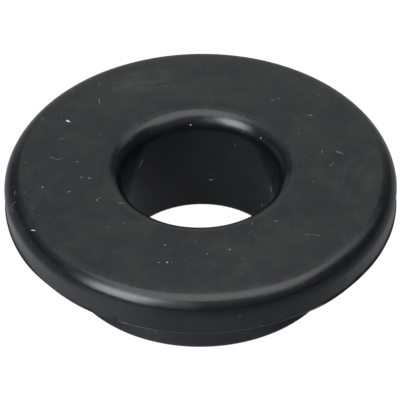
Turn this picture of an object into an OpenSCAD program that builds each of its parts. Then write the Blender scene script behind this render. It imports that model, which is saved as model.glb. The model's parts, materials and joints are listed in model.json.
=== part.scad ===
// Rubber grommet that snaps into a round panel hole and grips a tube.
// It is moulded in one piece: a wide flange, a neck and a snap-in lip around one bore.
// Its axis is Z, its lip stands on z = 0 and its flange faces up. Sizes are in millimetres.

/* [Overall] */
// Outside diameter of the flange, 1-7/8 in
flange_d = 47.6; // [44:0.1:60]
// Height from the foot of the lip to the highest ring of the top face, around the bore
body_h = 14.4; // [13.5:0.1:24]

/* [Flange] */
// Thickness of the flange beside the bore
flange_t = 5.7; // [5.4:0.1:7]
// Slope of the top face, which falls from the bore to the rim, in degrees
top_slope = 4.5; // [0.5:0.5:5]
// Radius that rounds the top outer edge of the flange
flange_round = 2.5; // [0.5:0.1:2.8]
// Radius that breaks the lower outer edge of the flange
flange_edge_round = 0.3; // [0.1:0.05:0.5]

/* [Bore] */
// Diameter of the bore, which grips a 3/4 in tube
bore_d = 19.05; // [8:0.05:24]
// Radius that rounds the mouth of the bore
mouth_round = 2.4; // [0.5:0.1:3.4]
// Radius that breaks the lower edge of the bore
bore_foot_round = 0.4; // [0.1:0.05:0.8]

/* [Panel] */
// Diameter of the panel hole that the neck fills, 1-1/4 in
panel_hole_d = 31.75; // [28:0.05:38.5]
// Thickness of the panel that the groove holds
panel_t = 3.2; // [1.5:0.1:4]
// Radial clearance of the neck in the panel hole
neck_clearance = 0.2; // [0:0.05:0.5]
// Width of the groove beyond the thickness of the panel
groove_clearance = 0.1; // [0:0.05:0.5]
// Radius of the fillets at the two ends of the neck
neck_root_round = 0.5; // [0.2:0.05:0.6]

/* [Lip] */
// Reach of the lip past the rim of the panel hole
lip_grip = 1.2; // [1:0.1:2.7]
// Radius that rounds the foot of the lip, where it enters the hole
lip_foot_round = 1; // [0.3:0.1:1.2]
// Radius that breaks the upper outer edge of the lip
lip_heel_round = 0.4; // [0.1:0.05:0.5]

/* [Hidden] */
$fn = 128;
lap = 0.2;
hair = 0.0002;

flange_r = flange_d / 2;
bore_r = bore_d / 2;
panel_hole_r = panel_hole_d / 2;
neck_r = panel_hole_r - neck_clearance;
lip_r = panel_hole_r + lip_grip;

flange_z = body_h - flange_t;
groove_w = panel_t + groove_clearance;
lip_h = flange_z - groove_w;

// The sloped top face is tangent to the round of the mouth and to the round of the rim
top_normal = [sin(top_slope), cos(top_slope)];
mouth_centre = [bore_r + mouth_round, body_h - mouth_round];
rim_x = flange_r - flange_round;
rim_drop = (flange_round - mouth_round + top_normal.x * (rim_x - mouth_centre.x)) / top_normal.y;
rim_centre = [rim_x, mouth_centre.y - rim_drop];

// Height of the sloped top face, carried on as a straight line, at a distance from the axis.
// It is sunk by a hair, so that the line crosses both rounds and leaves no step beside them.
function top_z(x) =
    mouth_centre.y - hair + (mouth_round - top_normal.x * (x - mouth_centre.x)) / top_normal.y;

// Directions in the section: outwards or inwards from the axis, then up or down
out_up = [1, 1];
out_down = [1, -1];
in_up = [-1, 1];
in_down = [-1, -1];

// Half section of a ring from the bore wall out to outer_r, between two heights
module band(outer_r, low_z, high_z) {
    translate([bore_r, low_z]) square([outer_r - bore_r, high_z - low_z]);
}

// Half section of the flange, still with sharp corners
module flange_band() {
    polygon([
        [bore_r, flange_z],
        [flange_r, flange_z],
        [flange_r, top_z(flange_r)],
        [bore_r, top_z(bore_r)]
    ]);
}

// Sliver between a square corner and the round that is tangent to both of its sides.
// Taken away it rounds an outer corner, and added it fillets an inner one.
module corner(point, toward, r) {
    difference() {
        translate(point + toward * (r - lap) / 2) square(r + lap, center = true);
        translate(point + toward * r) circle(r);
    }
}

// Sliver between the round of the mouth or the rim and the sharp corner above it.
// It spans from the upright wall on one side to the sloped top face on the other.
module top_corner(centre, r, wall_x) {
    difference() {
        polygon([
            centre,
            [wall_x, centre.y],
            [wall_x, centre.y + 2 * r],
            centre + 2 * r * top_normal
        ]);
        translate(centre) circle(r);
    }
}

// Sharp-edged half section of the flange, neck and lip
module bands() {
    flange_band();
    band(neck_r, 0, flange_z + lap);
    band(lip_r, 0, lip_h);
}

// Fillets where the neck meets the underside of the flange and the top of the lip
module neck_roots() {
    corner([neck_r, flange_z], out_down, neck_root_round);
    corner([neck_r, lip_h], out_up, neck_root_round);
}

// What rounding the outer corners takes away
module outer_rounds() {
    top_corner(rim_centre, flange_round, flange_r + lap);
    corner([flange_r, flange_z], in_up, flange_edge_round);
    corner([lip_r, lip_h], in_down, lip_heel_round);
    corner([lip_r, 0], in_up, lip_foot_round);
}

// What rounding the two ends of the bore takes away
module bore_rounds() {
    top_corner(mouth_centre, mouth_round, bore_r - lap);
    corner([bore_r, 0], out_up, bore_foot_round);
}

module grommet() {
    color("#1b1b1d") rotate_extrude() difference() {
        union() {
            bands();
            neck_roots();
        }
        outer_rounds();
        bore_rounds();
    }
}

grommet();
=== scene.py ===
"""Looks of a moulded rubber grommet: its mould marks, its dusty finish and a light studio."""

import json
import math

import bmesh
import bpy
from mathutils import Matrix, Vector, noise


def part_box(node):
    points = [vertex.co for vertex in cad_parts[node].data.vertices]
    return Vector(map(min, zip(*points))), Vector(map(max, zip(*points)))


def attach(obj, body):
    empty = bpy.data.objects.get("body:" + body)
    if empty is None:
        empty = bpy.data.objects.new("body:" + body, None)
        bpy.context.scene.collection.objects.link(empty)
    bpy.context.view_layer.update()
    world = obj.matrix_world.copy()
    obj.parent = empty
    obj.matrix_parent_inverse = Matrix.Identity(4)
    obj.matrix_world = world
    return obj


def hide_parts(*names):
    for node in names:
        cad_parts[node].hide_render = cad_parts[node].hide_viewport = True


bl_info = {
    "name": "Rubber Grommet",
    "version": (1, 0, 0),
    "blender": (4, 5, 0),
    "location": "View3D > Sidebar > Grommet",
    "description": "Builds a push-in rubber grommet with its finish and a light studio",
    "category": "Add Mesh",
}

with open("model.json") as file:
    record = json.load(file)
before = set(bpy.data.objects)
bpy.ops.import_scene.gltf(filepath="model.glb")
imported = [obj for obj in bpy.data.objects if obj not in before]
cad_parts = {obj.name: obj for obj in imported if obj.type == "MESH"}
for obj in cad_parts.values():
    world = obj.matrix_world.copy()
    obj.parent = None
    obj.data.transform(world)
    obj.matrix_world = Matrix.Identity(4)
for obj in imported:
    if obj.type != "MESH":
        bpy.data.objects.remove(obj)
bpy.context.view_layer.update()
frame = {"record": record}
MM = 0.001
UP = Vector((0.0, 0.0, 1.0))
DOWN = Vector((0.0, 0.0, -1.0))

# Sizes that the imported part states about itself
MOUNTS = {mount["name"]: mount for mount in frame["record"]["mounts"]}
TOP_RING_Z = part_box("grommet")[1].z
FLANGE_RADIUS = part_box("grommet")[1].x
BORE_RADIUS = MOUNTS["bore"]["dims"]["r_mm"] * MM
BORE_WALL = MOUNTS["bore"]["dims"]["length_mm"] * MM
BORE_MIDDLE_Z = MOUNTS["bore"]["pos_m"][2]
FLANGE_Z = MOUNTS["panel_seat"]["pos_m"][2]


# ---- settings


def size_setting(name, description, default):
    """A length in a property group."""
    kind = {"precision": 6, "unit": "LENGTH", "subtype": "DISTANCE"}
    return bpy.props.FloatProperty(name=name, description=description, default=default, **kind)


def colour_setting(name, description, default):
    """A colour in a property group."""
    kind = {"size": 3, "min": 0.0, "max": 1.0, "subtype": "COLOR"}
    return bpy.props.FloatVectorProperty(name=name, description=description, default=default, **kind)


def glow_setting(name, description, default):
    """The strength of a light in a property group."""
    return bpy.props.FloatProperty(name=name, description=description, default=default, min=0.0)


class GrommetSizes(bpy.types.PropertyGroup):
    """Sizes of the moulding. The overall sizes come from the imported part."""

    flange_diameter: size_setting("Flange diameter", "Outside diameter of the flange", 2 * FLANGE_RADIUS)
    height: size_setting("Height", "Height from the foot to the ring round the bore", TOP_RING_Z)
    flange_underside: size_setting("Flange underside", "Height of the flange's flat underside", FLANGE_Z)
    top_slope: bpy.props.FloatProperty(
        name="Top slope",
        description="Slope of the top face, which falls from the bore to the rim",
        default=math.radians(4.5),
        unit="ROTATION",
        subtype="ANGLE",
    )
    rim_round: size_setting("Rim round", "Radius that rounds the top outer edge of the flange", 2.5 * MM)
    bore_diameter: size_setting("Bore diameter", "Diameter of the bore", 2 * BORE_RADIUS)
    mouth_round: size_setting(
        "Mouth round", "Radius that rounds the bore's mouth", TOP_RING_Z - BORE_MIDDLE_Z - BORE_WALL / 2
    )
    bore_foot_round: size_setting(
        "Bore foot round", "Radius of the bore's lower edge", BORE_MIDDLE_Z - BORE_WALL / 2
    )
    neck_diameter: size_setting("Neck diameter", "Diameter of the neck, in the groove", 31.35 * MM)
    neck_root_round: size_setting("Neck root round", "Radius of the fillets at the neck's ends", 0.5 * MM)
    lip_diameter: size_setting("Lip diameter", "Diameter of the snap-in lip", 34.15 * MM)
    lip_height: size_setting("Lip height", "Height of the snap-in lip, up to the groove", 5.4 * MM)
    lip_heel_round: size_setting("Lip heel round", "Radius that breaks the lip's upper edge", 0.4 * MM)
    lip_foot_round: size_setting("Lip foot round", "Radius that rounds the foot of the lip", 1.0 * MM)
    flash_width: size_setting("Flash width", "How far the line of flash stands out", 0.1 * MM)
    unevenness: size_setting("Unevenness", "How far the rubber strays from its outline", 0.02 * MM)


class RubberFinish(bpy.types.PropertyGroup):
    """Colours and surface of the rubber."""

    rubber_colour: colour_setting("Rubber colour", "Colour of the clean rubber", (0.0039, 0.0043, 0.0070))
    bloom_colour: colour_setting(
        "Bloom colour", "Colour of the rubber under a faint haze", (0.0111, 0.0120, 0.0120)
    )
    smear_colour: colour_setting(
        "Smear colour", "Colour of the rubber where dust is smeared", (0.0236, 0.0250, 0.0243)
    )
    # The lip's colour is a pale film and painted light that lifts the lip out of the flange's shade
    film_and_light_colour: colour_setting("Film colour", "Colour of the pale film on the lip", (0.019, 0.019, 0.024))
    dust_colour: colour_setting("Dust colour", "Colour of the dust specks and lint", (0.54, 0.56, 0.54))
    roughness: bpy.props.FloatProperty(
        name="Roughness",
        description="Roughness of the smooth moulded skin",
        default=0.24,
        min=0.0,
        max=1.0,
        subtype="FACTOR",
    )
    grain_depth: size_setting("Grain depth", "Depth of the mould's fine grain", 0.0012 * MM)
    turning_depth: size_setting("Turning mark depth", "Depth of the turned mould's fine rings", 0.0008 * MM)


class StudioSettings(bpy.types.PropertyGroup):
    """Floor and lights. A light's radiance is its share times the brightness."""

    floor_colour: colour_setting("Floor colour", "Colour of the satin table", (0.18, 0.18, 0.187))
    # The table's glows are painted light: pools of emitted light on the table
    floor_glow: glow_setting("Floor glow", "Radiance of the light through the table", 0.11)
    left_glow: glow_setting("Left glow", "Radiance added on the left of the grommet", 0.42)
    right_glow: glow_setting("Right glow", "Radiance added on the right of the grommet", 0.13)
    front_glow: glow_setting("Front glow", "Radiance added before the lip", 0.24)
    brightness: glow_setting("Brightness", "Brightness of all the softboxes together", 1.0)


# ---- outline of the moulding

# Spacing of the outline's points, closest on the broken edges
TIGHT = 0.08 * MM
FINE = 0.16 * MM
MEDIUM = 0.3 * MM
PLAIN = 0.45 * MM

# The line of flash, as (height over the flange's underside in mm, share of its width)
FLASH = ((0.3, 0.0), (0.22, 0.12), (0.207, 0.3), (0.173, 0.77), (0.16, 0.95), (0.1, 1.0), (0.04, 0.7))
FLASH_TOP = FLASH[0][0] * MM
FLASH_MIDDLE = 0.1 * MM
FLASH_FOOT = 0.1 * MM


def line(start, end, spacing):
    """Points of a straight stretch of the outline, without its last one."""
    start, end = Vector(start), Vector(end)
    steps = max(1, round((end - start).length / spacing))
    return [start.lerp(end, step / steps) for step in range(steps)]


def arc(centre, radius, first, last, spacing):
    """Points of a round of the outline between two angles in degrees, without its last one."""
    steps = max(3, round(abs(math.radians(last - first)) * radius / spacing))
    points = []
    for step in range(steps):
        angle = math.radians(first + (last - first) * step / steps)
        points.append(Vector(centre) + radius * Vector((math.cos(angle), math.sin(angle))))
    return points


def top_rounds(sizes):
    """Centres of the mouth's and the rim's rounds, which the top face touches."""
    mouth = Vector((sizes.bore_diameter / 2 + sizes.mouth_round, sizes.height - sizes.mouth_round))
    rim_x = sizes.flange_diameter / 2 - sizes.rim_round
    run = math.sin(sizes.top_slope) * (rim_x - mouth.x)
    drop = (sizes.rim_round - sizes.mouth_round + run) / math.cos(sizes.top_slope)
    return mouth, Vector((rim_x, mouth.y - drop))


def flash_line(sizes):
    """The thin line that the mould's joint leaves along the flange's lower edge."""
    radius = sizes.flange_diameter / 2
    points = []
    for height, share in FLASH:
        points.append(Vector((radius + sizes.flash_width * share, sizes.flange_underside + height * MM)))
    return points


def outline(sizes):
    """Closed half section of the grommet, as (distance from the axis, height) points."""
    bore = sizes.bore_diameter / 2
    neck = sizes.neck_diameter / 2
    lip = sizes.lip_diameter / 2
    lip_top = sizes.lip_height
    radius = sizes.flange_diameter / 2
    under = sizes.flange_underside
    root = sizes.neck_root_round
    heel = sizes.lip_heel_round
    foot = sizes.lip_foot_round
    bore_foot = sizes.bore_foot_round
    mouth, rim = top_rounds(sizes)
    slope = math.degrees(sizes.top_slope)
    lean = Vector((math.sin(sizes.top_slope), math.cos(sizes.top_slope)))
    flash = flash_line(sizes)

    points = line((bore, bore_foot), (bore, mouth.y), PLAIN)
    points += arc(mouth, sizes.mouth_round, 180, 90 - slope, FINE)
    points += line(mouth + sizes.mouth_round * lean, rim + sizes.rim_round * lean, MEDIUM)
    points += arc(rim, sizes.rim_round, 90 - slope, 0, FINE)
    points += line((radius, rim.y), flash[0], MEDIUM)
    points += flash
    points += line((radius - FLASH_FOOT, under), (neck + root, under), PLAIN)
    points += arc((neck + root, under - root), root, 90, 180, FINE)
    points += line((neck, under - root), (neck, lip_top + root), PLAIN)
    points += arc((neck + root, lip_top + root), root, 180, 270, FINE)
    points += line((neck + root, lip_top), (lip - heel, lip_top), PLAIN)
    points += arc((lip - heel, lip_top - heel), heel, 90, 0, TIGHT)
    points += line((lip, lip_top - heel), (lip, foot), PLAIN)
    points += arc((lip - foot, foot), foot, 0, -90, FINE)
    points += line((lip - foot, 0), (bore + bore_foot, 0), PLAIN)
    points += arc((bore + bore_foot, bore_foot), bore_foot, 270, 180, TIGHT)
    return points


def over_round(centre, radius, distance):
    """Tilt and height of the outline on a round, above a distance from the axis."""
    side = min(max(distance - centre.x, -radius), radius)
    tilt = Vector((side, math.sqrt(max(radius**2 - side**2, 0.0)))).normalized()
    return tilt, centre.y + radius * tilt.y


def surface_spot(sizes, x, y, offset):
    """Point on the moulding's top at a place in plan and an offset, in mm, and its normal."""
    x, y = (x + offset.x) * MM, (y + offset.y) * MM
    mouth, rim = top_rounds(sizes)
    lean = Vector((math.sin(sizes.top_slope), math.cos(sizes.top_slope)))
    distance = max(math.hypot(x, y), sizes.bore_diameter / 2)
    if distance < mouth.x + sizes.mouth_round * lean.x:
        tilt, height = over_round(mouth, sizes.mouth_round, distance)
    elif distance > rim.x + sizes.rim_round * lean.x:
        tilt, height = over_round(rim, sizes.rim_round, distance)
    else:
        tilt = lean
        height = mouth.y + (sizes.mouth_round - lean.x * (distance - mouth.x)) / lean.y
    outward = Vector((x, y, 0.0)).normalized()
    return outward * distance + UP * height, outward * tilt.x + UP * tilt.y


# ---- the moulding's mesh

SEGMENTS = 400
FRONT = -math.pi / 2
SLACK = 0.01 * MM

# Slow waves of the soft rubber, and smaller ones over them
WAVE_SCALE = 95.0
RIPPLE_SCALE = 260.0
RIPPLE_SHARE = 0.45
RIPPLE_SHIFT = Vector((7.1, 3.3, 1.9))
FLAT_FOOT = 1.5 * MM

# The nick in the flash, at the front left
NICK_ANGLE = math.radians(-116)
NICK_HEIGHT = 0.25 * MM
NICK_WIDTH = 0.45 * MM
NICK_DEPTH = 0.24 * MM

# How full the flash is, as a share of its width, and the degrees where it grows
FLASH_BEFORE_NICK = 0.02
FLASH_AT_NICK = 0.46
FLASH_PAST_NICK = 0.32
NICK_FADE = 20.0
FLASH_FULL = 1.42
FLASH_START_LEFT = 48.0
FLASH_START_RIGHT = 26.0
FLASH_GROWTH = 14.0
FLASH_CHANGE = 0.2
FLASH_CHANGE_SCALE = 14.0
FLASH_CHANGE_SLICE = 4.2

# How the flange's wall draws in towards its lower edge, away from the front
TUCK = 0.18 * MM
TUCK_HEIGHT = 2.6 * MM
TUCK_REACH = 1.0 * MM
TUCK_START = 38.0
TUCK_GROWTH = 14.0


def progress(value, start, span):
    """How far value has come from start along span, from 0 to 1."""
    return min(1.0, max(0.0, (value - start) / span))


def degrees_past(angle, start):
    """Degrees round the rim from start to angle, from -180 to 180."""
    return math.degrees(math.remainder(angle - start, 2 * math.pi))


def stray(point, sizes):
    """How far a point of the moulding strays along its normal. The foot stays flat."""
    waves = noise.noise(point * WAVE_SCALE)
    waves += RIPPLE_SHARE * noise.noise(point * RIPPLE_SCALE + RIPPLE_SHIFT)
    return sizes.unevenness * waves * progress(point.z, 0.0, FLAT_FOOT)


def flash_fullness(angle):
    """How full the flash is at an angle: thin at the front, full elsewhere."""
    turn = degrees_past(angle, FRONT)
    start = FLASH_START_RIGHT if turn > 0.0 else FLASH_START_LEFT
    aside = progress(abs(turn), start, FLASH_GROWTH)
    thin = FLASH_BEFORE_NICK
    past_nick = degrees_past(angle, NICK_ANGLE)
    if past_nick >= 0.0:
        near_nick = max(0.0, 1.0 - past_nick / NICK_FADE)
        thin = FLASH_PAST_NICK + (FLASH_AT_NICK - FLASH_PAST_NICK) * near_nick
    ring = Vector((math.cos(angle), math.sin(angle), FLASH_CHANGE_SLICE))
    change = FLASH_CHANGE * noise.noise(ring * FLASH_CHANGE_SCALE)
    return (thin + (FLASH_FULL - thin) * aside) * (1.0 + change)


def lower_edge(spot, angle, sizes):
    """A point of the flange's lower edge, with its flash as full as it is at an angle."""
    radius = sizes.flange_diameter / 2
    middle = sizes.flange_underside + FLASH_MIDDLE
    fullness = flash_fullness(angle)
    stretch = max(fullness, fullness**2)
    if spot.y < middle:
        stretch = min(1.0, stretch)
    return radius + (spot.x - radius) * fullness, middle + (spot.y - middle) * stretch


def tuck(spot, angle, sizes):
    """How far a point of the flange's wall draws in at an angle: more lower down."""
    aside = progress(abs(degrees_past(angle, FRONT)), TUCK_START, TUCK_GROWTH)
    outer = progress(spot.x, sizes.flange_diameter / 2 - TUCK_REACH, TUCK_REACH)
    higher = progress(spot.y, sizes.flange_underside, TUCK_HEIGHT)
    return TUCK * aside * outer * (1.0 - higher)


def moulded_ring(section, angle, sizes):
    """Points of the outline at an angle, with flash, drawn-in wall and slight waves."""
    wall = sizes.flange_diameter / 2 - SLACK
    flash_top = sizes.flange_underside + FLASH_TOP + SLACK
    outward = Vector((math.cos(angle), math.sin(angle), 0.0))
    points = []
    for index, spot in enumerate(section):
        before, after = section[index - 1], section[(index + 1) % len(section)]
        along = (after - before).normalized()
        normal = outward * -along.y + UP * along.x
        distance, height = spot
        if distance > wall and height < flash_top:
            distance, height = lower_edge(spot, angle, sizes)
        point = outward * (distance - tuck(spot, angle, sizes)) + UP * height
        points.append(point + normal * stray(point, sizes))
    return points


def join_rings(shape, here, there):
    """Faces between two closed rings that have the same number of corners."""
    for index in range(len(here)):
        after = (index + 1) % len(here)
        shape.faces.new((here[index], here[after], there[after], there[index]))


def smooth_mesh(shape, name):
    """A smooth mesh from a closed shape."""
    mesh = bpy.data.meshes.new(name)
    bmesh.ops.recalc_face_normals(shape, faces=shape.faces)
    for face in shape.faces:
        face.smooth = True
    shape.to_mesh(mesh)
    shape.free()
    return mesh


def build_moulding(sizes):
    """One closed mesh, turned from the outline."""
    section = outline(sizes)
    shape = bmesh.new()
    rings = []
    for segment in range(SEGMENTS):
        points = moulded_ring(section, 2 * math.pi * segment / SEGMENTS, sizes)
        rings.append([shape.verts.new(point) for point in points])
    for segment in range(SEGMENTS):
        join_rings(shape, rings[segment], rings[(segment + 1) % SEGMENTS])
    press_nick(shape, sizes)
    return smooth_mesh(shape, "rubber grommet")


def press_nick(shape, sizes):
    """A small nick in the flash line at the front left."""
    outward = Vector((math.cos(NICK_ANGLE), math.sin(NICK_ANGLE), 0.0))
    centre = outward * sizes.flange_diameter / 2 + UP * (sizes.flange_underside + NICK_HEIGHT)
    for vert in shape.verts:
        away = (vert.co - centre).length / NICK_WIDTH
        if away < 1.0:
            vert.co -= outward * NICK_DEPTH * (1.0 - away * away) ** 2


# ---- shader helpers


def new_group(name, output, vectors=("Vector",), **numbers):
    """An empty node group, its first input, its inputs and its output. Numbers are defaults."""
    group = bpy.data.node_groups.new(name, "ShaderNodeTree")
    for label in vectors:
        group.interface.new_socket(name=label, in_out="INPUT", socket_type="NodeSocketVector")
    for label, value in numbers.items():
        label = label.capitalize()
        socket = group.interface.new_socket(name=label, in_out="INPUT", socket_type="NodeSocketFloat")
        socket.default_value = value
    group.interface.new_socket(name=output, in_out="OUTPUT", socket_type="NodeSocketFloat")
    start = group.nodes.new("NodeGroupInput")
    end = group.nodes.new("NodeGroupOutput")
    return group, start.outputs[0], start.outputs, end.inputs[output]


def plug(tree, value, socket):
    """Links a socket, or sets a plain value."""
    if isinstance(value, bpy.types.NodeSocket):
        tree.links.new(value, socket)
    else:
        socket.default_value = value


def plug_all(tree, values, sockets):
    """Links or sets sockets in turn."""
    for value, socket in zip(values, sockets):
        plug(tree, value, socket)


def maths(tree, operation, *values, clamp=False):
    """A Math node's result."""
    node = tree.nodes.new("ShaderNodeMath")
    node.operation = operation
    node.use_clamp = clamp
    plug_all(tree, values, node.inputs)
    return node.outputs[0]


def product(tree, first, *others):
    """The product of some values."""
    for other in others:
        first = maths(tree, "MULTIPLY", first, other)
    return first


def strongest(tree, masks):
    """The strongest of some masks."""
    total = masks[0]
    for mask in masks[1:]:
        total = maths(tree, "MAXIMUM", total, mask)
    return total


def vector_maths(tree, operation, *values):
    """A Vector Math node's result."""
    node = tree.nodes.new("ShaderNodeVectorMath")
    node.operation = operation
    plug_all(tree, values, node.inputs)
    return node.outputs["Value" if operation in ("LENGTH", "DOT_PRODUCT") else "Vector"]


def parts(tree, vector):
    """The X, Y and Z parts of a vector."""
    split = tree.nodes.new("ShaderNodeSeparateXYZ")
    plug(tree, vector, split.inputs[0])
    return split.outputs


def from_axis(tree, vector):
    """Distance of a place from the grommet's axis."""
    return vector_maths(tree, "LENGTH", vector_maths(tree, "MULTIPLY", vector, (1.0, 1.0, 0.0)))


def ramp(tree, value, low, high, start=0.0, end=1.0):
    """Smooth step from start to end while value goes from low to high."""
    node = tree.nodes.new("ShaderNodeMapRange")
    node.interpolation_type = "SMOOTHSTEP"
    plug_all(tree, (value, low, high, start, end), node.inputs)
    return node.outputs["Result"]


def noise_value(tree, vector, scale, detail=2.0, roughness=0.5):
    """A Noise Texture's value, around 0.5."""
    node = tree.nodes.new("ShaderNodeTexNoise")
    plug(tree, vector, node.inputs["Vector"])
    plug(tree, scale, node.inputs["Scale"])
    node.inputs["Detail"].default_value = detail
    node.inputs["Roughness"].default_value = roughness
    return node.outputs["Fac"]


def scattered_cells(tree, vector, scale):
    """Scattered cells: the distance from a cell's middle, and its random draws."""
    cells = tree.nodes.new("ShaderNodeTexVoronoi")
    plug(tree, vector, cells.inputs["Vector"])
    plug(tree, scale, cells.inputs["Scale"])
    draws = tree.nodes.new("ShaderNodeSeparateColor")
    plug(tree, cells.outputs["Color"], draws.inputs[0])
    return cells.outputs["Distance"], draws.outputs


def mix_colour(tree, factor, first, second):
    """Colour between first and second, each a socket or three numbers."""
    node = tree.nodes.new("ShaderNodeMix")
    node.data_type = "RGBA"
    plug(tree, factor, node.inputs["Factor"])
    for value, socket in zip((first, second), node.inputs[6:8]):
        plug(tree, value if isinstance(value, bpy.types.NodeSocket) else (*value, 1.0), socket)
    return node.outputs[2]


def place_group(tree, group, **values):
    """The output of a node group placed in a tree with its own values."""
    node = tree.nodes.new("ShaderNodeGroup")
    node.node_tree = group
    for name, value in values.items():
        plug(tree, value, node.inputs[name.capitalize()])
    return node.outputs[0]


def principled(name):
    """A new material, its node tree and its Principled shader."""
    material = bpy.data.materials.new(name)
    material.use_nodes = True
    tree = material.node_tree
    return material, tree, tree.nodes["Principled BSDF"]


# ---- finishes as node groups

# Pale smears on the top, as (x, y, turn in degrees, half length, half width, strength), in mm
SMEARS = (
    (-6.5, 16.8, 14, 6.5, 3.6, 2.0),
    (-6.8, 17.6, 8, 4.6, 2.4, 1.9),
    (-5.0, 12.9, 20, 4.0, 1.6, 0.3),
    (13.0, 8.5, -30, 3.4, 3.4, 1.1),
    (18.4, -2.4, 70, 6.5, 4.2, 1.0),
    (19.4, -7.6, 62, 4.5, 2.6, 0.8),
    (-16.0, 9.0, 30, 3.0, 2.4, 0.4),
    (0.5, -12.6, 0, 4.5, 2.0, 0.4),
)

# Places wiped nearly clean of haze, in the same form
WIPED_PATCHES = (
    (-19.0, -3.0, 80, 6.5, 4.2, 3.0),
    (-19.8, 7.0, 60, 5.0, 3.6, 2.5),
    (11.5, -6.0, 45, 5.5, 4.6, 3.0),
    (12.4, 2.5, 80, 5.0, 3.2, 2.2),
    (-4.4, 13.1, 8, 4.5, 2.0, 1.8),
    (-13.6, 0.0, 90, 7.0, 4.2, 3.0),
    (-7.6, -13.8, -28, 6.5, 3.2, 2.5),
)

# Faint dark spots on the top, as (x, y, length, heading in degrees, width, strength), in mm
DARK_SPOTS = (
    (-7.4, -17.0, 0.5, 0, 0.45, 0.5),
    (-9.0, 8.6, 0.6, 30, 0.5, 0.2),
    (17.5, 9.5, 0.8, -40, 0.6, 0.2),
)

# Height of the smears, and how streaks and patches are drawn out
SMEAR_HEIGHT = 12 * MM
STREAK_STRETCH = (0.45, 1.0, 1.0)
PATCH_STRETCH = (1.0, 1.0, 5.0)

# Keeps a mark's squared length from being zero
TINY = 1e-12


def grain_group():
    """Fine grain of the skin, with a coarser one under it."""
    group, vector, given, end = new_group("Mould grain", "Height", scale=4200.0, coarseness=0.27, depth=1.4)
    fine = noise_value(group, vector, given["Scale"], roughness=0.6)
    coarse_scale = product(group, given["Scale"], given["Coarseness"])
    coarse = noise_value(group, vector, coarse_scale, detail=1.0)
    plug(group, maths(group, "MULTIPLY_ADD", coarse, given["Depth"], fine), end)
    return group


def turning_group():
    """Fine rings round the axis, left by the turned mould."""
    group, vector, given, end = new_group("Turning marks", "Height", scale=3600.0, drift=0.0004)
    x, y, z = parts(group, vector)
    distance = from_axis(group, vector)
    drift = product(group, maths(group, "ARCTAN2", y, x), given["Drift"])
    join = group.nodes.new("ShaderNodeCombineXYZ")
    plug_all(group, (distance, drift, z), join.inputs)
    plug(group, noise_value(group, join.outputs[0], given["Scale"], detail=1.0), end)
    return group


def rim_group():
    """The rounded rim, from 0 to 1, where the turned mould left deeper rings."""
    group, vector, given, end = new_group(
        "Rounded rim", "Mask", distance=21.4 * MM, height=11.0 * MM, fade=0.8 * MM
    )
    top = maths(group, "ADD", given["Height"], given["Fade"])
    high = ramp(group, parts(group, vector)["Z"], given["Height"], top)
    far = maths(group, "ADD", given["Distance"], given["Fade"])
    outside = ramp(group, from_axis(group, vector), given["Distance"], far)
    plug(group, product(group, high, outside), end)
    return group


def haze_group():
    """Cloudy change of the skin, from 0 to 1: slow clouds under smaller ones."""
    group, vector, given, end = new_group(
        "Haze", "Mask", scale=150.0, fineness=3.4, weight=1.1, low=0.80, high=1.32
    )
    slow = noise_value(group, vector, given["Scale"])
    small_scale = product(group, given["Scale"], given["Fineness"])
    small = noise_value(group, vector, small_scale, detail=4.0, roughness=0.65)
    both = maths(group, "MULTIPLY_ADD", small, given["Weight"], slow)
    plug(group, ramp(group, both, given["Low"], given["High"]), end)
    return group


def smear_group():
    """A wiped smear: streaks along X inside a soft circle of radius 1."""
    group, vector, given, end = new_group("Wiped smear", "Mask", middle=0.3, scale=3.2, low=0.35, high=0.65)
    away = vector_maths(group, "LENGTH", vector)
    inside = ramp(group, away, given["Middle"], 1.0, 1.0, 0.0)
    stretched = vector_maths(group, "MULTIPLY", vector, STREAK_STRETCH)
    streaked = noise_value(group, stretched, given["Scale"], detail=4.0, roughness=0.65)
    plug(group, product(group, inside, ramp(group, streaked, given["Low"], given["High"])), end)
    return group


def smear_mask(tree, vector, smears):
    """A table of smears as one mask, each a wiped smear moved, turned and scaled."""
    group = smear_group()
    masks = []
    for x, y, turn, length, width, strength in smears:
        mapping = tree.nodes.new("ShaderNodeMapping")
        mapping.vector_type = "TEXTURE"
        place = (x * MM, y * MM, SMEAR_HEIGHT)
        size = (length * MM, width * MM, width * MM)
        plug_all(tree, (vector, place, (0.0, 0.0, math.radians(turn)), size), mapping.inputs)
        masks.append(product(tree, place_group(tree, group, vector=mapping.outputs[0]), strength))
    return strongest(tree, masks)


def lip_film_and_light_group():
    """Where the lip is: a pale, patchy film, with painted light that lifts the lip out of the flange's
    shade.
    """
    group, vector, given, end = new_group(
        "Film on the lip", "Mask", height=5.2 * MM, fade=0.6 * MM, inner=13 * MM, outer=15 * MM, scale=260.0
    )
    top = maths(group, "ADD", given["Height"], given["Fade"])
    low = ramp(group, parts(group, vector)["Z"], given["Height"], top, 1.0, 0.0)
    outside = ramp(group, from_axis(group, vector), given["Inner"], given["Outer"])
    stretched = vector_maths(group, "MULTIPLY", vector, PATCH_STRETCH)
    clouds = noise_value(group, stretched, given["Scale"], detail=3.0, roughness=0.6)
    plug(group, product(group, low, outside, ramp(group, clouds, 0.2, 0.8, 0.6, 1.0)), end)
    return group


def facing_up_group():
    """Where dust can settle, from 0 to 1: the faces that look up."""
    group, vector, given, end = new_group("Facing up", "Mask", ("Normal",), low=0.7, high=0.99)
    upward = parts(group, vector)["Z"]
    plug(group, ramp(group, upward, given["Low"], given["High"]), end)
    return group


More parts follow.
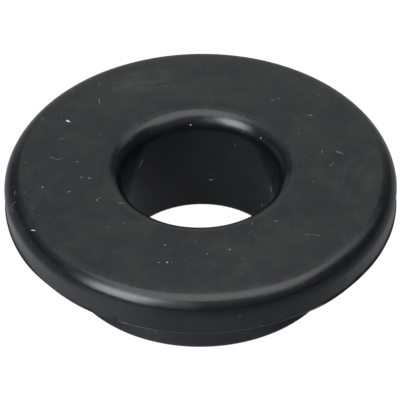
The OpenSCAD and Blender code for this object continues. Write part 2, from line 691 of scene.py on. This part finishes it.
def speck_group():
    """Scattered round specks of dust, each of its own size."""
    group, vector, given, end = new_group("Dust specks", "Mask", cells=800.0, size=0.1, share=0.5)
    distance, draws = scattered_cells(group, vector, given["Cells"])
    own_size = product(group, maths(group, "ADD", draws["Green"], 0.35), given["Size"])
    inner = product(group, own_size, 0.45)
    spot = ramp(group, distance, inner, own_size, 1.0, 0.0)
    chosen = maths(group, "LESS_THAN", draws["Red"], given["Share"])
    strength = ramp(group, draws["Blue"], 0.0, 1.0, 0.25, 1.0)
    plug(group, product(group, spot, chosen, strength), end)
    return group


def fibre_group():
    """Short curled fibres: thin contour lines of a noise, in scattered patches."""
    group, vector, given, end = new_group("Lint fibres", "Mask", scale=420.0, width=0.02, share=0.1)
    field = noise_value(group, vector, given["Scale"], detail=0.0)
    off = maths(group, "ABSOLUTE", maths(group, "SUBTRACT", field, 0.5))
    thread = ramp(group, off, 0.0, given["Width"], 1.0, 0.0)
    cell_scale = product(group, given["Scale"], 1.1)
    distance, draws = scattered_cells(group, vector, cell_scale)
    chosen = maths(group, "LESS_THAN", draws["Red"], given["Share"])
    near = ramp(group, distance, 0.25, 0.5, 1.0, 0.0)
    plug(group, product(group, thread, chosen, near), end)
    return group


def mark_group():
    """A soft mark along the straight stretch from Start to End."""
    group, vector, given, end = new_group("Single mark", "Mask", ("Vector", "Start", "End"), width=0.1 * MM)
    reach = vector_maths(group, "SUBTRACT", given["End"], given["Start"])
    offset = vector_maths(group, "SUBTRACT", vector, given["Start"])
    along = vector_maths(group, "DOT_PRODUCT", offset, reach)
    square = maths(group, "MAXIMUM", vector_maths(group, "DOT_PRODUCT", reach, reach), TINY)
    share = maths(group, "DIVIDE", along, square, clamp=True)
    nearest = vector_maths(group, "MULTIPLY", reach, share)
    away = vector_maths(group, "LENGTH", vector_maths(group, "SUBTRACT", offset, nearest))
    inner = product(group, given["Width"], 0.3)
    plug(group, ramp(group, away, inner, given["Width"], 1.0, 0.0), end)
    return group


def spots_mask(tree, vector, sizes):
    """The faint dark spots as one mask."""
    group = mark_group()
    masks = []
    for x, y, length, heading, width, strength in DARK_SPOTS:
        straight = bowed_line(length, heading, 0.0)
        start, end = [surface_spot(sizes, x, y, point)[0] for point in (straight[0], straight[-1])]
        mark = place_group(tree, group, vector=vector, start=start, end=end, width=width * MM)
        masks.append(product(tree, mark, strength))
    return strongest(tree, masks)


# How strongly each kind of dust shows
DUST_STRENGTH = 0.12
POWDER_STRENGTH = 0.045
FIBRE_STRENGTH = 0.05

# How much haze lies on upright walls, and what haze, dust and spots add to the roughness
WALL_HAZE = 0.4
HAZE_ROUGHNESS = 0.04
DUST_ROUGHNESS = 0.4
SPOT_ROUGHNESS = 0.5
SPOT_COLOUR = (0.001, 0.001, 0.001)

# How many times their depth the turning marks gain on the rounded rim
RIM_DEPTH = 15.0


def dirt_mask(tree, place):
    """Dust, powder and fine fibres as one mask."""
    specks = speck_group()
    dust = place_group(tree, specks, vector=place, cells=820.0, size=0.09, share=0.5)
    powder = place_group(tree, specks, vector=place, cells=2300.0, size=0.2, share=0.25)
    fibres = place_group(tree, fibre_group(), vector=place, width=0.014, share=0.05)
    kinds = ((dust, DUST_STRENGTH), (powder, POWDER_STRENGTH), (fibres, FIBRE_STRENGTH))
    return strongest(tree, [product(tree, mask, strength) for mask, strength in kinds])


def rubber_colour(tree, place, haze, spots, dirt, finish):
    """Colour of the rubber under its haze, smears, spots, the lip's film and painted light, and dirt."""
    smears = smear_mask(tree, place, SMEARS)
    wiped = smear_mask(tree, place, WIPED_PATCHES)
    facing = tree.nodes.new("ShaderNodeNewGeometry").outputs["Normal"]
    settled = place_group(tree, facing_up_group(), normal=facing)
    film = maths(tree, "MULTIPLY_ADD", settled, 1.0 - WALL_HAZE, WALL_HAZE)
    film = product(tree, film, maths(tree, "SUBTRACT", 1.0, wiped, clamp=True))
    skin = mix_colour(tree, product(tree, haze, film), finish.rubber_colour, finish.bloom_colour)
    skin = mix_colour(tree, smears, skin, finish.smear_colour)
    skin = mix_colour(tree, spots, skin, SPOT_COLOUR)
    # Pale film and painted light on the lip, lifting it out of the flange's shade
    skin = mix_colour(tree, place_group(tree, lip_film_and_light_group(), vector=place), skin, finish.film_and_light_colour)
    return mix_colour(tree, dirt, skin, finish.dust_colour)


def rubber_roughness(tree, haze, spots, dirt, finish):
    """Roughness of the rubber, which haze, dirt and spots add to."""
    roughness = maths(tree, "MULTIPLY_ADD", haze, HAZE_ROUGHNESS, finish.roughness)
    roughness = maths(tree, "MULTIPLY_ADD", dirt, DUST_ROUGHNESS, roughness)
    return maths(tree, "MULTIPLY_ADD", spots, SPOT_ROUGHNESS, roughness, clamp=True)


def rubber_normal(tree, place, finish):
    """Normal of the rubber, with its grain and its turning marks."""
    grain = place_group(tree, grain_group(), vector=place)
    rings = place_group(tree, turning_group(), vector=place)
    rim = place_group(tree, rim_group(), vector=place)
    share = maths(tree, "MULTIPLY_ADD", rim, RIM_DEPTH, 1.0)
    ring_depth = product(tree, share, finish.turning_depth / finish.grain_depth)
    bump = tree.nodes.new("ShaderNodeBump")
    bump.inputs["Strength"].default_value = 1.0
    bump.inputs["Distance"].default_value = finish.grain_depth
    plug(tree, maths(tree, "ADD", grain, product(tree, rings, ring_depth)), bump.inputs["Height"])
    return bump.outputs["Normal"]


def rubber_material(finish, sizes):
    """Black moulded rubber with grain, turning marks, haze, smears and dirt."""
    material, tree, shader = principled("black rubber")
    place = tree.nodes.new("ShaderNodeTexCoord").outputs["Object"]
    haze = place_group(tree, haze_group(), vector=place)
    spots = spots_mask(tree, place, sizes)
    dirt = dirt_mask(tree, place)
    colour = rubber_colour(tree, place, haze, spots, dirt, finish)
    plug(tree, colour, shader.inputs["Base Color"])
    plug(tree, rubber_roughness(tree, haze, spots, dirt, finish), shader.inputs["Roughness"])
    plug(tree, rubber_normal(tree, place, finish), shader.inputs["Normal"])
    return material


# ---- dust and lint

# Lint and specks on the top, as (x, y, length, heading in degrees, bow, width, strength), in mm
TOP_LINT = (
    (-16.0, 9.6, 0.6, -40, -0.12, 0.33, 0.75),
    (-12.2, 13.2, 1.1, 92, 0.03, 0.13, 0.2),
    (-16.8, 11.0, 0.5, 90, 0.0, 0.14, 0.07),
    (-16.8, 6.2, 0.9, 8, 0.0, 0.13, 0.09),
    (-17.9, 2.6, 0.8, -25, 0.12, 0.13, 0.13),
    (-17.1, 2.4, 1.0, 2, -0.08, 0.1, 0.12),
    (-14.9, 1.6, 0.4, 0, 0.0, 0.16, 0.13),
    (-21.1, 2.2, 0.45, 15, 0.0, 0.18, 0.07),
    (-14.4, -1.3, 0.45, 0, 0.0, 0.16, 0.18),
    (-13.4, -1.6, 0.45, -10, 0.0, 0.18, 0.21),
    (-19.1, -2.6, 0.35, -60, 0.0, 0.22, 0.26),
    (-17.4, -2.1, 0.15, 0, 0.0, 0.16, 0.06),
    (-15.9, -3.8, 0.45, 0, 0.0, 0.17, 0.22),
    (-12.5, -5.6, 0.15, 0, 0.0, 0.24, 0.45),
    (-12.2, -5.3, 0.15, 0, 0.03, 0.18, 0.23),
    (-9.6, -6.4, 0.9, -10, 0.05, 0.13, 0.19),
    (-21.2, -3.3, 0.3, 0, 0.0, 0.16, 0.1),
    (-22.4, -3.0, 0.6, 80, 0.15, 0.16, 0.12),
    (-22.6, -4.8, 1.0, 50, 0.2, 0.14, 0.1),
    (-22.8, -5.4, 0.7, 100, -0.15, 0.13, 0.09),
    (-20.2, -6.3, 0.45, 0, 0.0, 0.14, 0.07),
    (-17.6, -9.2, 0.25, 0, 0.0, 0.16, 0.09),
    (-20.2, -10.0, 0.65, -30, 0.04, 0.18, 0.55),
    (-12.0, 6.3, 0.15, 0, 0.0, 0.17, 0.18),
    (-12.2, 16.8, 0.6, 90, 0.03, 0.16, 0.09),
    (-10.4, 16.6, 0.3, 0, 0.0, 0.21, 0.09),
    (-7.4, 16.6, 0.7, 5, 0.0, 0.16, 0.07),
    (-4.0, 15.7, 0.15, 0, 0.0, 0.16, 0.16),
    (-3.0, 15.5, 0.2, 0, 0.0, 0.17, 0.14),
    (1.0, 19.1, 0.4, 90, 0.0, 0.14, 0.06),
    (1.9, 17.3, 0.3, 90, 0.0, 0.16, 0.06),
    (9.0, 12.7, 0.6, 20, 0.1, 0.13, 0.14),
    (9.7, 13.1, 0.5, 20, 0.0, 0.13, 0.13),
    (14.6, 13.9, 0.3, 0, 0.0, 0.18, 0.1),
    (13.3, 9.9, 0.7, 3, 0.0, 0.1, 0.13),
    (13.6, 10.0, 0.25, 0, 0.0, 0.18, 0.34),
    (10.6, 9.5, 0.2, 0, 0.0, 0.16, 0.07),
    (15.2, 9.5, 0.3, 0, 0.0, 0.22, 0.06),
    (12.0, 6.4, 0.3, 0, 0.0, 0.17, 0.13),
    (14.8, 3.0, 0.45, 92, 0.0, 0.18, 0.2),
    (16.9, 2.9, 1.1, -25, 0.08, 0.14, 0.2),
    (15.9, 0.7, 1.1, 48, -0.05, 0.14, 0.12),
    (12.8, -12.1, 1.0, 5, 0.04, 0.1, 0.14),
    (13.8, -12.1, 1.0, -7, 0.04, 0.1, 0.14),
    (9.1, -9.9, 0.45, 0, 0.0, 0.18, 0.17),
    (11.4, -7.9, 0.25, 0, 0.0, 0.17, 0.07),
    (6.2, -10.4, 0.5, 95, 0.0, 0.17, 0.09),
    (5.9, -11.9, 0.5, 80, 0.0, 0.16, 0.07),
    (3.4, -14.8, 0.2, 0, 0.0, 0.21, 0.38),
    (4.9, -16.4, 0.9, -45, 0.2, 0.1, 0.07),
    (5.4, -17.1, 0.7, -80, -0.25, 0.1, 0.09),
    (5.0, -17.7, 0.7, 20, 0.25, 0.1, 0.07),
    (4.4, -18.8, 1.4, 2, 0.0, 0.1, 0.05),
    (-4.3, -13.9, 0.25, 0, 0.0, 0.22, 0.25),
    (-5.1, -16.8, 0.25, 0, 0.0, 0.18, 0.23),
    (-4.1, -16.8, 0.25, 0, 0.0, 0.22, 0.45),
    (-3.5, -16.8, 0.2, 0, 0.0, 0.22, 0.12),
    (0.7, -15.5, 0.2, 45, 0.0, 0.17, 0.24),
    (1.3, -13.8, 0.2, 0, 0.0, 0.18, 0.06),
    (-2.2, -14.1, 0.2, 0, 0.0, 0.18, 0.07),
    (-11.2, -10.4, 0.5, 0, 0.0, 0.13, 0.07),
    (-1.1, 9.65, 0.25, 0, 0.0, 0.18, 0.52),
    (7.4, 6.6, 0.2, 0, 0.0, 0.18, 0.26),
)

# Lint on the upright walls and, last, a black thread of painted shade in the nick, as (distance from the
# axis, degrees round it, height, length, lean in degrees, bow, width, strength), in mm
WALL_LINT_AND_NICK_SHADE = (
    (9.525, 139, 9.7, 1.3, 48, 0.06, 0.1, 0.34),
    (9.525, 82, 4.2, 0.65, 5, 0.08, 0.12, 0.34),
    (9.525, 83, 5.0, 0.16, 0, 0.0, 0.13, 0.28),
    (9.525, 26, 7.2, 1.0, -72, 0.05, 0.12, 0.32),
    (9.525, 38, 3.1, 0.2, 0, 0.0, 0.18, 0.5),
    (23.8, -25, 11.0, 0.2, 0, 0.0, 0.2, 0.22),
    (23.8, -79, 11.2, 0.3, 0, 0.0, 0.16, 0.08),
    (23.85, -73, 9.0, 0.25, 0, 0.0, 0.18, 0.12),
    (23.88, -112.5, 9.0, 0.8, -2, 0.0, 0.14, 0.15),
    # Painted shade: a black thread laid in the nick darkens it
    (23.8, -116, 9.05, 0.5, -10, 0.0, 0.34, 0.0),
)

LINT_SIDES = 8
LINT_STEPS = 7

# How thin a thread gets at its ends, as a share squared of its width, and how low it lies
LINT_TIP = 0.12
LINT_LOWNESS = 0.45


def bowed_line(length, heading, bow):
    """Points along a short line, in mm, that bows to one side by a share of its length."""
    along = Vector((math.cos(math.radians(heading)), math.sin(math.radians(heading))))
    across = Vector((-along.y, along.x))
    points = []
    for step in range(LINT_STEPS):
        share = 2.0 * step / (LINT_STEPS - 1) - 1.0
        points.append(along * length / 2 * share + across * length * bow * (1.0 - share * share))
    return points


def top_track(sizes, x, y, bowed):
    """Points and normals of a piece of lint on the top."""
    track = []
    for point in bowed:
        spot, normal = surface_spot(sizes, x, y, point)
        track.append((spot + normal * stray(spot, sizes), normal))
    return track


def wall_track(sizes, distance, degrees, height, bowed):
    """Points and normals of a piece of lint on an upright wall."""
    track = []
    for point in bowed:
        angle = math.radians(degrees) - point.x / distance
        outward = Vector((math.cos(angle), math.sin(angle), 0.0))
        spot = (outward * distance + UP * (height + point.y)) * MM
        normal = -outward if distance * MM < sizes.lip_diameter / 2 else outward
        track.append((spot + normal * stray(spot, sizes), normal))
    return track


def lay_lint(shape, paleness, track, width, strength):
    """Adds one closed, tapered thread, half sunk in the surface."""
    rings = []
    for step, (spot, normal) in enumerate(track):
        share = 2.0 * step / (len(track) - 1) - 1.0
        full = math.sqrt(max(LINT_TIP, 1.0 - share * share)) * width * MM / 2
        before = track[max(step - 1, 0)][0]
        after = track[min(step + 1, len(track) - 1)][0]
        across = normal.cross((after - before).normalized())
        ring = []
        for side in range(LINT_SIDES):
            turn = 2 * math.pi * side / LINT_SIDES
            offset = across * math.cos(turn) * full + normal * math.sin(turn) * full * LINT_LOWNESS
            vert = shape.verts.new(spot + offset)
            vert[paleness] = strength
            ring.append(vert)
        rings.append(ring)
    for here, there in zip(rings, rings[1:]):
        join_rings(shape, here, there)
    shape.faces.new(rings[0][::-1])
    shape.faces.new(rings[-1])


def build_lint_and_nick_shade(sizes):
    """All the lint, the larger specks and a black thread of painted shade in the nick as one mesh of closed
    threads.
    """
    shape = bmesh.new()
    paleness = shape.verts.layers.float.new("paleness")
    for x, y, length, heading, bow, width, strength in TOP_LINT:
        track = top_track(sizes, x, y, bowed_line(length, heading, bow))
        lay_lint(shape, paleness, track, width, strength)
    for distance, degrees, height, length, lean, bow, width, strength in WALL_LINT_AND_NICK_SHADE:
        track = wall_track(sizes, distance, degrees, height, bowed_line(length, lean, bow))
        lay_lint(shape, paleness, track, width, strength)
    return smooth_mesh(shape, "lint")


def lint_material(finish):
    """Matt dust, from nearly as dark as the rubber to pale; the darkest thread is painted shade in the
    nick.
    """
    material, tree, shader = principled("lint")
    shader.inputs["Roughness"].default_value = 0.75
    own = tree.nodes.new("ShaderNodeAttribute")
    own.attribute_name = "paleness"
    colour = mix_colour(tree, own.outputs["Fac"], finish.rubber_colour, finish.dust_colour)
    plug(tree, colour, shader.inputs["Base Color"])
    return material


# ---- the studio

FLOOR_HALF = 2.0
LIGHT_DISTANCE = 0.7
KEY_TINT = (0.955, 0.97, 1.0)
EDGE_TINT = (0.9, 0.94, 1.0)
BACK_TINT = (0.95, 0.99, 0.94)
WHITE = (1.0, 1.0, 1.0)

# Softboxes that face the grommet, as (name, azimuth, elevation, width, height, radiance, tint)
SOFTBOXES = (
    ("key softbox", -47, 34, 0.37, 0.42, 8.7, KEY_TINT),
    ("key edge card", -17, 34, 0.3, 0.36, 1.2, EDGE_TINT),
    ("low front card", 2, 32, 0.14, 0.2, 0.16, EDGE_TINT),
    ("front right card", 36, 44, 0.5, 0.14, 0.5, WHITE),
    ("low front right card", 42, 28, 0.7, 0.24, 0.2, WHITE),
    ("back card", 177, 40, 0.66, 0.56, 0.49, BACK_TINT),
    ("low back card", 180, 9, 0.94, 0.26, 0.3, WHITE),
    ("back left card", -112, 43, 0.57, 0.3, 0.28, WHITE),
    ("right strip", 112, 37, 0.24, 0.16, 0.8, WHITE),
    ("high right card", 117, 51, 0.26, 0.2, 0.75, WHITE),
    ("low left card", -100, 7, 0.6, 0.16, 0.28, WHITE),
)

# Level panels that hang over the grommet, as (name, x, y, width, depth, radiance, tint)
PANELS = (
    ("overhead softbox", 0.11, -0.165, 1.06, 0.54, 2.6, WHITE),
    ("overhead lamp", 0.1, -0.16, 0.36, 0.16, 1.2, WHITE),
    ("rear overhead panel", 0.04, 0.29, 1.25, 0.38, 0.65, WHITE),
)

AIM = UP * 12 * MM

TABLE_ROUGHNESS = 0.45
TABLE_IOR = 1.6
TABLE_LIGHT = (0.93, 0.97, 1.06, 1.0)
TABLE_SEEN = 1.12
TABLE_SEEN_SHARE = 0.9
ROOM_LIGHT = 0.07

# Where the table's painted glow starts and ends, in mm: across it, with left negative,
LEFT_EDGE = (-32, -8)
RIGHT_EDGE = (22, 32)
SIDE_END = (34, 60)
BORE_SHADE = (-6, 5)
# along it, with the front negative,
LEFT_BACK = (2, 11)
LEFT_FRONT = (-36, -26)
RIGHT_FRONT = (-20, -8)
# and away from the grommet's axis, or from a spot before its lip
BORE_EDGE = (8.5, 10)
UNDER_START = (10, 11)
UNDER_END = (21, 26)
CLEAR_EDGE = (26, 34)
NEAR_END = (30, 44)
FRONT_SPOT = (0.0, -21 * MM, 0.0)
FRONT_SPOT_EDGE = (6, 20)

CAMERA_ELEVATION = math.radians(41.02)
CAMERA_DISTANCE = 1.248
CAMERA_SIDE = -0.08 * MM
CAMERA_RISE = -3.92 * MM
CAMERA_ROLL = math.radians(-0.64)
CAMERA_LENS = 928.2
CAMERA_SENSOR = 36.0


def add_object(name, data):
    """A new object in the scene."""
    item = bpy.data.objects.new(name, data)
    bpy.context.scene.collection.objects.link(item)
    return item


def studio_direction(azimuth, elevation):
    """Unit vector towards an azimuth and elevation. Azimuth 0 is the camera's side, 90 its right."""
    around, up = math.radians(azimuth), math.radians(elevation)
    return Vector((math.sin(around) * math.cos(up), -math.cos(around) * math.cos(up), math.sin(up)))


def add_light(name, place, facing, width, height, radiance, tint):
    """A rectangular light of a wanted radiance, which the camera doesn't see."""
    data = bpy.data.lights.new(name, "AREA")
    data.shape = "RECTANGLE"
    data.size = width
    data.size_y = height
    data.color = tint
    data.energy = radiance * math.pi * width * height
    light = add_object(name, data)
    light.location = place
    light.rotation_euler = (-facing).to_track_quat("Z", "Y").to_euler()
    light.visible_camera = False


def build_lights(studio):
    """The softboxes round the grommet and the level panels over it."""
    for name, azimuth, elevation, width, height, radiance, tint in SOFTBOXES:
        towards = studio_direction(azimuth, elevation)
        place = AIM + towards * LIGHT_DISTANCE
        add_light(name, place, -towards, width, height, radiance * studio.brightness, tint)
    for name, x, y, width, depth, radiance, tint in PANELS:
        place = AIM + Vector((x, y, LIGHT_DISTANCE))
        add_light(name, place, DOWN, width, depth, radiance * studio.brightness, tint)


def fade(tree, value, stretch, start=0.0, end=1.0):
    """Smooth step from start to end over a stretch in mm."""
    return ramp(tree, value, stretch[0] * MM, stretch[1] * MM, start, end)


def table_glow(tree, studio):
    """Painted light on the table, as emission: faint, with painted shade under the flange and in the bore,
    and painted pools of light beside and before it.
    """
    place = tree.nodes.new("ShaderNodeTexCoord").outputs["Object"]
    across, along, _ = parts(tree, place)
    away = vector_maths(tree, "LENGTH", place)
    left = product(tree, fade(tree, across, LEFT_EDGE, 1.0, 0.0), studio.left_glow)
    left = product(tree, left, fade(tree, along, LEFT_BACK, 1.0, 0.42))
    left = product(tree, left, fade(tree, along, LEFT_FRONT, 0.5, 1.0))
    right = product(tree, fade(tree, across, RIGHT_EDGE), studio.right_glow)
    right = product(tree, right, fade(tree, along, RIGHT_FRONT, 0.3, 1.0))
    side_end = fade(tree, maths(tree, "ABSOLUTE", across), SIDE_END, 1.0, 0.27)
    beside = product(tree, maths(tree, "ADD", left, right), side_end, fade(tree, away, CLEAR_EDGE))
    gap = vector_maths(tree, "LENGTH", vector_maths(tree, "SUBTRACT", place, FRONT_SPOT))
    before = product(tree, fade(tree, gap, FRONT_SPOT_EDGE, 1.0, 0.0), studio.front_glow)
    in_bore = product(tree, fade(tree, away, BORE_EDGE, 1.0, 0.0), fade(tree, across, BORE_SHADE))
    under = product(tree, fade(tree, away, UNDER_START), fade(tree, away, UNDER_END, 1.0, 0.0))
    dark = maths(tree, "ADD", in_bore, under)
    even = maths(tree, "MULTIPLY_ADD", dark, -studio.floor_glow, studio.floor_glow)
    near = product(tree, even, fade(tree, away, NEAR_END, 1.0, 0.35))
    return maths(tree, "ADD", maths(tree, "ADD", beside, before), near)


def camera_sees(tree, shader, other, share):
    """A shader that the camera sees as another one, by a share."""
    seen = tree.nodes.new("ShaderNodeLightPath").outputs["Is Camera Ray"]
    mix = tree.nodes.new("ShaderNodeMixShader")
    plug_all(tree, (product(tree, seen, share), shader, other), mix.inputs)
    return mix.outputs[0]


def floor_material(studio):
    """Satin table with a painted glow, which the camera sees as plain white."""
    material, tree, shader = principled("pale table")
    shader.inputs["Base Color"].default_value = (*studio.floor_colour, 1.0)
    shader.inputs["Roughness"].default_value = TABLE_ROUGHNESS
    shader.inputs["IOR"].default_value = TABLE_IOR
    shader.inputs["Emission Color"].default_value = TABLE_LIGHT
    plug(tree, table_glow(tree, studio), shader.inputs["Emission Strength"])
    glow = tree.nodes.new("ShaderNodeEmission")
    glow.inputs["Strength"].default_value = TABLE_SEEN
    seen = camera_sees(tree, shader.outputs[0], glow.outputs[0], TABLE_SEEN_SHARE)
    plug(tree, seen, tree.nodes["Material Output"].inputs["Surface"])
    return material


def build_floor(studio):
    """A wide floor at the height of the grommet's foot."""
    mesh = bpy.data.meshes.new("floor")
    corners = [(x * FLOOR_HALF, y * FLOOR_HALF, 0.0) for x, y in ((-1, -1), (1, -1), (1, 1), (-1, 1))]
    mesh.from_pydata(corners, [], [range(4)])
    mesh.materials.append(floor_material(studio))
    return add_object("floor", mesh)


def background(tree, strength):
    """A white Background shader of some strength."""
    shader = tree.nodes.new("ShaderNodeBackground")
    shader.inputs["Color"].default_value = (*WHITE, 1.0)
    shader.inputs["Strength"].default_value = strength
    return shader.outputs[0]


def build_surroundings():
    """The dark room, which the camera sees as pale as the floor."""
    world = bpy.data.worlds.new("studio")
    bpy.context.scene.world = world
    world.use_nodes = True
    tree = world.node_tree
    tree.nodes.clear()
    end = tree.nodes.new("ShaderNodeOutputWorld")
    room = camera_sees(tree, background(tree, ROOM_LIGHT), background(tree, 1.0), 1.0)
    plug(tree, room, end.inputs["Surface"])


def build_camera():
    """A long lens that looks down at the grommet from the front."""
    data = bpy.data.cameras.new("camera")
    data.sensor_width = CAMERA_SENSOR
    data.lens = CAMERA_LENS
    camera = add_object("camera", data)
    back = Vector((0.0, -math.cos(CAMERA_ELEVATION), math.sin(CAMERA_ELEVATION)))
    level = Vector((1.0, 0.0, 0.0))
    upright = back.cross(level)
    side = level * math.cos(CAMERA_ROLL) + upright * math.sin(CAMERA_ROLL)
    rise = upright * math.cos(CAMERA_ROLL) - level * math.sin(CAMERA_ROLL)
    place = UP * TOP_RING_Z + back * CAMERA_DISTANCE + level * CAMERA_SIDE + upright * CAMERA_RISE
    turn = Matrix((side, rise, back)).transposed().to_4x4()
    camera.matrix_world = Matrix.Translation(place) @ turn
    bpy.context.scene.camera = camera


# ---- operators and panel


class GROMMET_OT_moulding(bpy.types.Operator):
    """Build the rubber grommet, which is one moulding, in place of the plain one"""

    bl_idname = "grommet.moulding"
    bl_label = "Rubber grommet"

    def execute(self, context):
        scene = context.scene
        mesh = build_moulding(scene.grommet_sizes)
        mesh.materials.append(rubber_material(scene.grommet_finish, scene.grommet_sizes))
        grommet = add_object("rubber_grommet", mesh)
        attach(grommet, "root")
        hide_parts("grommet")
        return {"FINISHED"}


class GROMMET_OT_lint(bpy.types.Operator):
    """Lay the lint, the larger specks of dust and a black thread of painted shade in the nick on the
    grommet
    """

    bl_idname = "grommet.lint"
    bl_label = "Lint"

    def execute(self, context):
        scene = context.scene
        mesh = build_lint_and_nick_shade(scene.grommet_sizes)
        mesh.materials.append(lint_material(scene.grommet_finish))
        # This piece also holds the black thread of painted shade in the nick
        lint = add_object("lint", mesh)
        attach(lint, "root")
        return {"FINISHED"}


class GROMMET_OT_studio(bpy.types.Operator):
    """Build the pale floor, the soft lights and the camera"""

    bl_idname = "grommet.studio"
    bl_label = "Light studio"

    def execute(self, context):
        scene = context.scene
        studio = scene.grommet_studio
        build_floor(studio)
        build_lights(studio)
        build_surroundings()
        build_camera()
        scene.view_settings.view_transform = "Standard"
        return {"FINISHED"}


class GROMMET_PT_panel(bpy.types.Panel):
    """Sidebar panel with the grommet's steps and settings"""

    bl_idname = "GROMMET_PT_panel"
    bl_label = "Rubber grommet"
    bl_space_type = "VIEW_3D"
    bl_region_type = "UI"
    bl_category = "Grommet"

    def draw(self, context):
        layout = self.layout
        scene = context.scene
        for operator in (GROMMET_OT_moulding, GROMMET_OT_lint, GROMMET_OT_studio):
            layout.operator(operator.bl_idname)
        for settings in (scene.grommet_sizes, scene.grommet_finish, scene.grommet_studio):
            box = layout.box()
            for name in settings.__annotations__:
                box.prop(settings, name)


CLASSES = (
    GrommetSizes,
    RubberFinish,
    StudioSettings,
    GROMMET_OT_moulding,
    GROMMET_OT_lint,
    GROMMET_OT_studio,
    GROMMET_PT_panel,
)


def register():
    for cls in CLASSES:
        bpy.utils.register_class(cls)
    bpy.types.Scene.grommet_sizes = bpy.props.PointerProperty(type=GrommetSizes)
    bpy.types.Scene.grommet_finish = bpy.props.PointerProperty(type=RubberFinish)
    bpy.types.Scene.grommet_studio = bpy.props.PointerProperty(type=StudioSettings)


def unregister():
    del bpy.types.Scene.grommet_studio
    del bpy.types.Scene.grommet_finish
    del bpy.types.Scene.grommet_sizes
    for cls in reversed(CLASSES):
        bpy.utils.unregister_class(cls)


def main():
    register()
    bpy.ops.grommet.moulding()
    bpy.ops.grommet.lint()
    bpy.ops.grommet.studio()
    bpy.context.view_layer.update()


if __name__ == "__main__":
    main()
